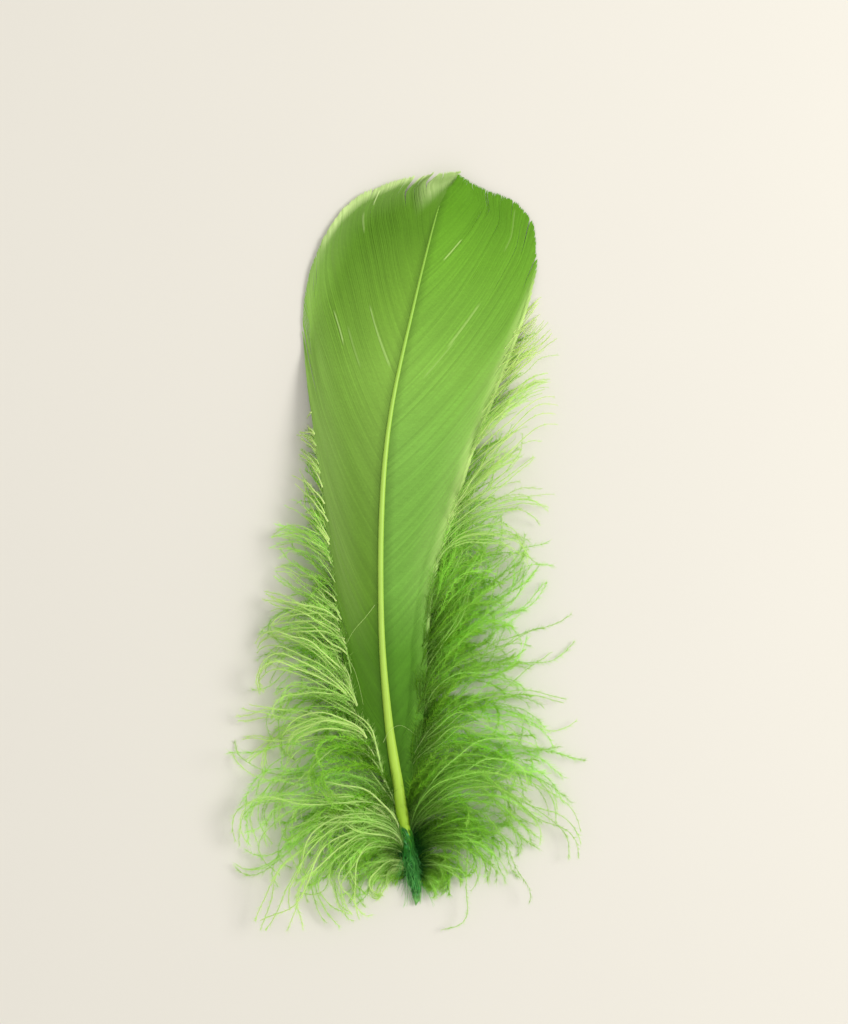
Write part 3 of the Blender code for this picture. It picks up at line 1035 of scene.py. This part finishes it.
def plume_lines(plumes, outline, side, count, wetness_and_light, rng):
    """The plumes of one side: their lines and, in a column, what the look of each plume needs."""
    low, high = plumes[0][0], plumes[-1][0]
    roots = np.sort(low + (high - low) * rng.random(count) ** 1.5)[:, None]
    length, first, last, fluff = read(plumes, roots)
    tuft, leader = tufts_of(count, rng)
    tufts = tuft.max() + 1
    lock = np.cumsum(rng.random(tufts) < TUFT[1] / 2 / LOCK)[tuft]
    short = (rng.random(tufts) < SHORT)[tuft]
    # How wet a tuft dried: it draws the tuft together, paints it paler as a highlight, and on the left
    # brighter
    wet = (rng.random(tufts) ** (1 / wetness_and_light))[tuft] * np.where(short, 0.2, 1.0)
    leads = (leader == np.arange(count))[:, None]
    stray = (rng.random(roots.shape) < STRAYS) * fluff * ~(leads | short) * ramp(roots, 12, 20)
    # Painted shade and light: short plumes are darker, and the right side's down darker than the left's
    own = rng.random(roots.shape) * np.where(short, 0.4, 1.0) * min(1, 0.40 + 0.55 * wetness_and_light)
    upper = ramp(roots, 44, 66)
    # Paleness: painted highlight on wet tufts, stronger on the left, and the upper fringe's own pale colour
    paler = (0.4 + 0.65 * wetness_and_light) * (0.4 * ramp(own, 0.4, 1.0) + 0.7 * wet)
    pale = np.clip(paler + 0.7 * upper, 0, 1) * np.where(short, 0.2, 1.0)

    length *= np.clip(0.96 + shared(tuft, rng, 0.12, 0.08) + shared(lock, rng, 0.08, 0), 0.5, 1.18)
    length *= np.where(short, rng.uniform(*SHORT_LENGTH, roots.shape), 1.0)
    turned = plume_headings(first, last, fluff, tuft, lock, stray, rng)
    turned = np.radians(np.maximum(turned, beside_shaft(roots, side)))
    walk = stacked(side * np.sin(turned), np.cos(turned)) * (length / PLUME_STEPS)[..., None]
    walk[:, 0] = 0
    start, web = plume_starts(outline, side, roots[:, 0], short[:, 0], rng)
    plan = within_reach(start[:, None, :2] + np.cumsum(walk, axis=1))
    lift = np.where(short, -0.8, PALE_LIFT * pale + shared(lock, rng, 0.8, 0))
    height = plume_heights(start[:, 2:], length, fluff, lift, tuft, rng)
    height = cleared(plan, height, web[:, None], length)
    lines = drawn_together(stacked(plan[..., 0], plan[..., 1], height), leader, wet, stray, rng)
    thick = 1 + (0.3 + 1.2 * wetness_and_light) * wet + 0.4 * upper
    # Partly dye, partly painted shade near the quill; painted shade on short plumes, light on left wet tufts
    bright = 0.5 * upper - 0.3 * (1 - ramp(roots, 9, 19)) - 0.15 * short - 0.12
    bright += 0.5 * (wetness_and_light - 0.6) * wet
    fluff *= 1 - 0.45 * wet
    return dict(lines=lines, fluff=fluff, own=own, pale=pale, thick=thick, bright=bright, under=short)


print("longest plume, mm:", max(row[1] for row in PLUMES_RIGHT + PLUMES_LEFT))

# %% [markdown]
# ## Barbules
# What makes down soft is the haze of barbules along every plume, hair-fine and up to three millimetres long.
# Each is a closed three-sided spike of four triangles, because a shape repeated more than a hundred thousand
# times has to be the simplest that is still solid. They stand out mostly to both sides, slanting ahead.

# %% Barbules on plumes
PER_MM = 9.3
BARBULE_LONGEST, BARBULE_HALF = 3.2, 0.037
BARBULE_SPREAD = (22, 75)
UNDER_WIDER = 0.9


def barbules(lines, fluff, under, rng):
    """Spikes along the plumes: points, triangles, and the plume and the share along it of each spike."""
    share, section, triangles = master_rod(3, 1, end=0.0)
    plume = np.repeat(np.arange(len(lines)), rng.poisson(lengths(lines) * PER_MM * (0.25 + 0.75 * fluff)))
    t = rng.uniform(0.04, 1.0, len(plume))
    step = np.minimum((t * PLUME_STEPS).astype(int), PLUME_STEPS - 1)
    part = (t * PLUME_STEPS - step)[:, None]
    ahead, side_way, up_way = (way[plume, step] for way in directions(lines))
    base = lines[plume, step] * (1 - part) + lines[plume, step + 1] * part
    around = rng.normal(0, 0.8, len(plume)) + math.pi * rng.integers(0, 2, len(plume))
    out = side_way * np.cos(around)[:, None] + up_way * np.sin(around)[:, None]
    spread = np.radians(rng.uniform(*BARBULE_SPREAD, len(plume)) * (1 - 0.3 * t))
    way = unit(ahead * np.cos(spread)[:, None] + out * np.sin(spread)[:, None])
    reach = BARBULE_LONGEST * (1 - 0.4 * t) * rng.uniform(0.35, 1.0, len(plume)) * (0.3 + 0.7 * fluff[plume])
    wide = unit(np.cross(way, ahead))
    half = (BARBULE_HALF * (1 + UNDER_WIDER * under[plume]))[:, None, None]
    points = (
        base[:, None]
        + way[:, None] * (reach[:, None] * share)[..., None]
        + wide[:, None] * section[None, :, :1] * half
        + np.cross(way, wide)[:, None] * section[None, :, 1:] * half
    )
    points[..., 2] = np.maximum(points[..., 2], LOWEST)
    joined = triangles[None] + (np.arange(len(plume)) * len(share))[:, None, None]
    return points.reshape(-1, 3), joined.reshape(-1, 3), plume, t


# %% [markdown]
# ## The down's finish
# Down takes dye unevenly: deep green where it is thick near the quill, which is partly painted shade, and a
# pale lime at the tips, where a single plume lets most of the light through. So its colour runs from root
# to tip, and differs by plume, with painted light and shade on some plumes.

# %% Down material
PLUME_DYE = (
    (0, (0.014, 0.14, 0.012)), (0.23, (0.225, 0.55, 0.024)),
    (0.46, (0.47, 0.9, 0.072)), (1, (0.64, 0.975, 0.2)),
)
# The pale plumes' colour, partly painted highlight
PALE_PLUME = (0.880, 0.995, 0.500)
DEEPEST = 0.3
THROUGH_DOWN = 0.48


def down_material():
    material, tree, shader = new_material("dyed down", {"Roughness": 0.85, "Specular IOR Level": 0.2})
    step, own, pale = marks(tree, "growth")
    colour = brightened(tree, colour_ramp(tree, step, PLUME_DYE), own, 0.80, 1.12)
    colour = mixed(tree, pale, colour, PALE_PLUME)
    colour = brightened(tree, colour, cloudy(tree, own_place(tree), 120.0), 0.86, 1.14)
    tree.links.new(colour, shader.inputs["Base Color"])
    let_light_through(tree, shader, colour, THROUGH_DOWN)
    return material


# %% Down pieces
PLUME_HALF = 0.075


def dye_on(t, pale, bright, tone, paleness):
    """What the material reads at a share t of the way: the place on the dye's ramp, and how pale it is."""
    # Painted shade: where bright is low near the root, the plume is kept from turning pale
    deep_and_shaded = np.clip(-3 * bright, 0, 1) * (1 - ramp(t, 0.05, 0.55))
    return (DEEPEST + tone * t + bright * (1 - t)) / (DEEPEST + 1), paleness * pale * (1 - deep_and_shaded)


def down_piece(name, plumes, rng, material):
    """Some plumes with their barbules, in one mesh."""
    lines, own, pale, bright = (plumes[key] for key in ("lines", "own", "pale", "bright"))
    half = PLUME_HALF * plumes["thick"] * (1 - ROD_TAPER * PLUME_SHARES)
    rod, points, triangles = round_rods(3, lines, half)
    tone, paled = dye_on(PLUME_SHARES, pale, bright, 1.0, 1.0)
    growth = on_points(rod, tone, own, paled)
    fuzz, fuzz_triangles, plume, t = barbules(lines, plumes["fluff"][:, 0], plumes["under"][:, 0], rng)
    tone, paled = dye_on(t, pale[plume, 0], bright[plume, 0], 0.9, 0.6)
    fuzz_growth = stacked(tone, own[plume, 0], paled).repeat(len(fuzz) // len(t), axis=0)
    triangles = np.concatenate([triangles, fuzz_triangles + len(points)])
    points = np.concatenate([points, fuzz])
    growth = np.concatenate([growth, fuzz_growth])
    return joined_object(name, points, triangles, material, growth=growth)


def add_down(side_name, plumes, outline, side, count, parts, wetness_and_light, material, seed):
    """One side's down, cut by root in parts of about one size, each under the triangles a piece may have."""
    rng = np.random.default_rng(seed)
    made = plume_lines(plumes, outline, side, count, wetness_and_light, rng)
    length = lengths(made["lines"]) * (0.5 + made["fluff"][:, 0])
    part = (np.cumsum(length) / length.sum() * parts - 1e-9).astype(int)
    for number in range(parts):
        chosen = {key: values[part == number] for key, values in made.items()}
        piece = down_piece(f"down_{side_name}_{number + 1}", chosen, rng, material)
        settled(piece, f"down_{side_name}")


dyed_down = down_material()
# In each call, after the side: how many plumes, in how many pieces, how wet they dried (which also sets
# how much painted light they get), finish and seed
add_down("right", PLUMES_RIGHT, WEB_RIGHT, 1, 600, 3, 0.6, dyed_down, 21)
add_down("left", PLUMES_LEFT, WEB_LEFT, -1, 490, 3, 1.5, dyed_down, 22)

# %% [markdown]
# ## Loose hairs
# A few single hairs of down cling to the web and the shaft. Each is one thin rod on a smooth curve through
# four places, read from the photo, and lies just above them.

# %% Loose hairs
HAIR_PIXELS = (
    ((384, 739), (391, 727), (402, 722), (416, 731)),
    ((376, 605), (367, 617), (355, 631), (345, 650)),
    ((349, 655), (356, 667), (361, 683), (365, 702)),
)
HAIR_STEPS = 16
HAIR_HALF = 0.045
HAIR_ABOVE, HAIR_ARCH = 0.5, 0.5


def make_hairs(material):
    t = np.linspace(0, 1, HAIR_STEPS + 1)
    lines = []
    for pixels in HAIR_PIXELS:
        shares = np.linspace(0, 1, len(pixels))
        across, along = read(np.column_stack([shares, [from_pixel(*pixel) for pixel in pixels]]), t)
        shaft_x, shaft_z, diameter = read(SHAFT_LINE, along)
        over_shaft = shaft_z + diameter / 2 + 0.1 - 2.5 * (across - shaft_x) ** 2
        height = np.maximum(web_height(across, along) + HAIR_ABOVE, over_shaft)
        lines.append(stacked(across, along, height + HAIR_ARCH * np.sin(math.pi * t)))
    rod, points, triangles = round_rods(4, np.array(lines), HAIR_HALF * (1 - ROD_TAPER * t))
    growth = on_points(rod, t, np.linspace(0.4, 1, len(lines))[:, None], 0.8)
    return joined_object("loose_hairs", points, triangles, material, growth=growth)


settled(make_hairs(dyed_down), None)
